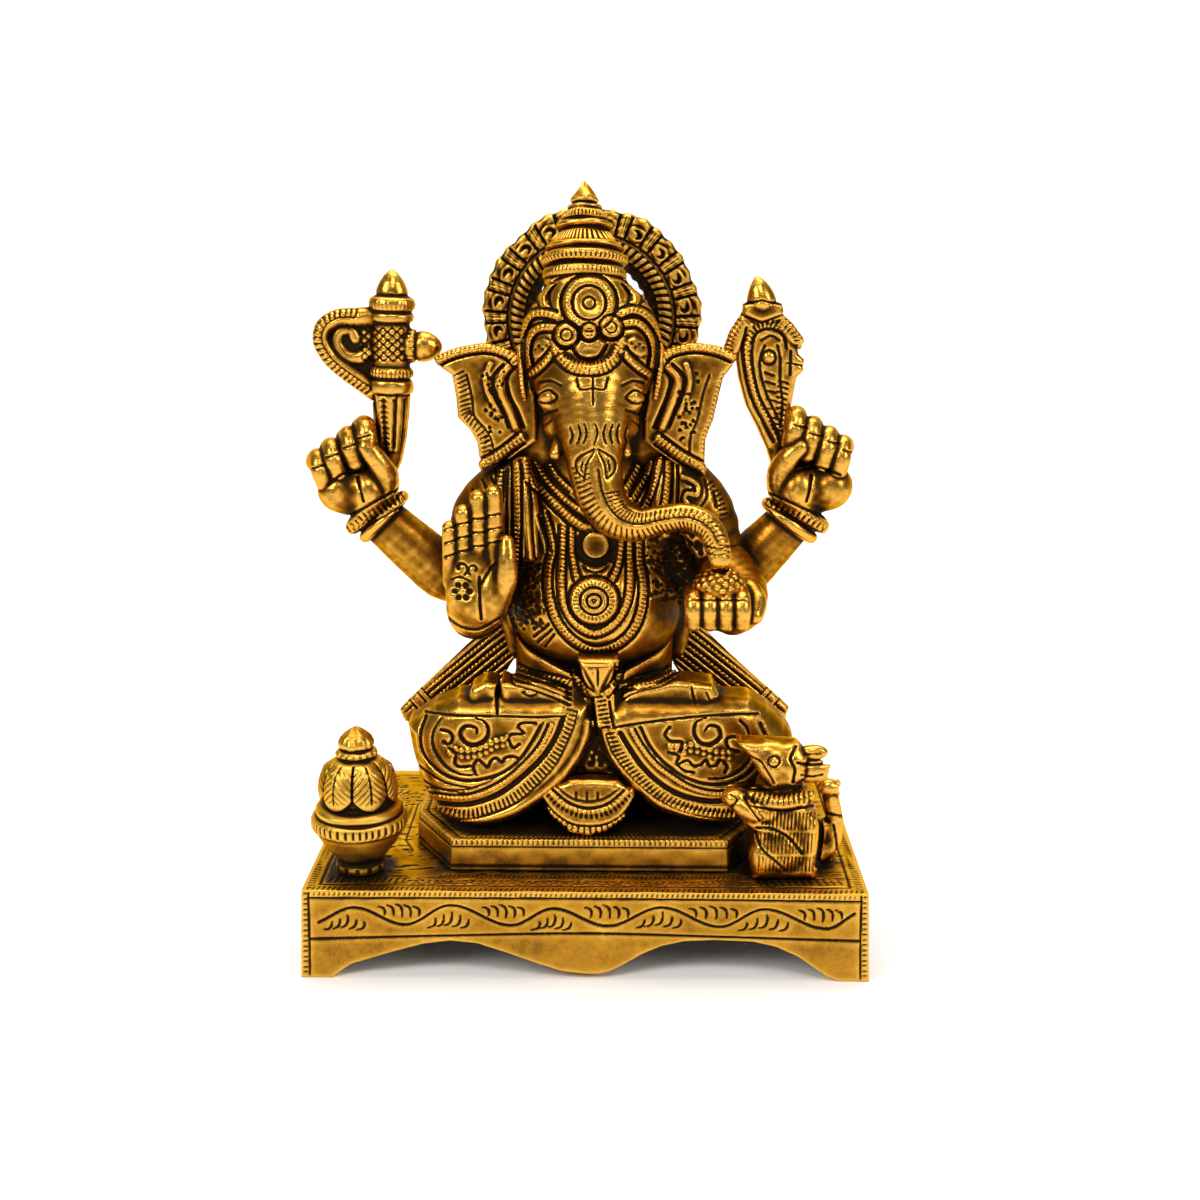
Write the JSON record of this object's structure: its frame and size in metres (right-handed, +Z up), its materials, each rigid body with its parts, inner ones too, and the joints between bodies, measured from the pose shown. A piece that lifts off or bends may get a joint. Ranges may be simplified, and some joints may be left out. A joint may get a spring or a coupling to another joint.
{
  "type": "ganesha idol",
  "caption": "Seated elephant-headed brass idol with crown, halo, four arms and emblems, on an octagonal plinth and a hollow table base with a sweet pot and a mouse beside it.",
  "frame": {"origin": "centre of the bounding box in plan, on the plane the base's feet stand on", "axes": "+Z up, -Y is the front the face looks to, +X to the viewer's right"},
  "size_m": [0.1504, 0.086, 0.2008],
  "materials": {
    "antique_brass": "cast, chased and hand-rubbed bright on the high points, dark patina left in the recesses",
    "polished_brass": "buffed and engraved, dark wax left in the engraved lines",
    "zinc_steel": "zinc plated fixings under the base and behind the shoulders"
  },
  "bodies": {
    "root": {"axe_emblem": "antique_brass", "base_table": "polished_brass", "blessing_arm": "antique_brass", "crown": "antique_brass", "ear_left": "antique_brass", "ear_right": "antique_brass", "front_sash": "antique_brass", "halo": "polished_brass", "halo_screw_left": "zinc_steel", "halo_screw_right": "zinc_steel", "hand_sweet": "antique_brass", "head_trunk": "antique_brass", "legs_dhoti": "antique_brass", "mouse": "polished_brass", "mouse_screw": "zinc_steel", "noose_emblem": "antique_brass", "offering_arm": "antique_brass", "pot_screw": "zinc_steel", "rear_arm_left": "antique_brass", "rear_arm_right": "antique_brass", "scarf_end_left": "antique_brass", "scarf_end_right": "antique_brass", "seat_bolt_left": "zinc_steel", "seat_bolt_right": "zinc_steel", "seat_plinth": "polished_brass", "seat_washer_left": "zinc_steel", "seat_washer_right": "zinc_steel", "sweet_pot": "polished_brass", "torso": "antique_brass"}
  },
  "joints": []
}
